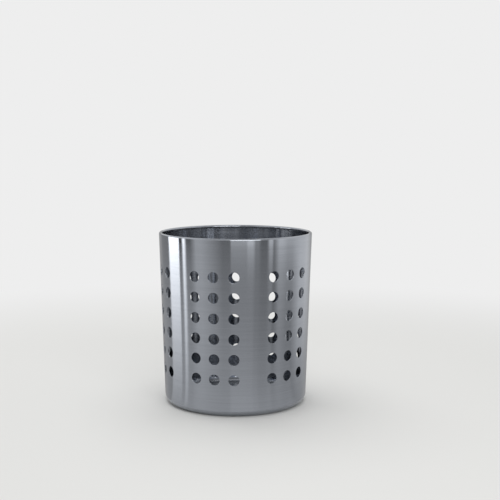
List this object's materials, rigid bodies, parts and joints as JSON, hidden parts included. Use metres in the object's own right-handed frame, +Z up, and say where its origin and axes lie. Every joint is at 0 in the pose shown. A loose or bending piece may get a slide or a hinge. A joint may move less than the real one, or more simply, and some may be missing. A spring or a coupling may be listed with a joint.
{
  "type": "cutlery caddy",
  "caption": "Free-standing cutlery caddy: a tapered cup of brushed steel sheet with a rolled rim, groups of punched holes in its wall and a drained floor welded in.",
  "frame": {"origin": "middle of the foot, on the surface that the cup stands on", "axes": "+Z up along the cup's axis; -Y is the front, a plain strip between two groups of holes; the sleeve's seam is on +Y"},
  "size_m": [0.1206, 0.1206, 0.135],
  "materials": {
    "brushed_sheet": "brushed round the cup",
    "floor_sheet": "satin, as rolled",
    "weld_metal": "dressed weld"
  },
  "bodies": {
    "root": {"wall_sleeve": "brushed_sheet", "seam_weld": "weld_metal", "base_disc": "floor_sheet", "base_welds": "weld_metal"}
  },
  "joints": []
}
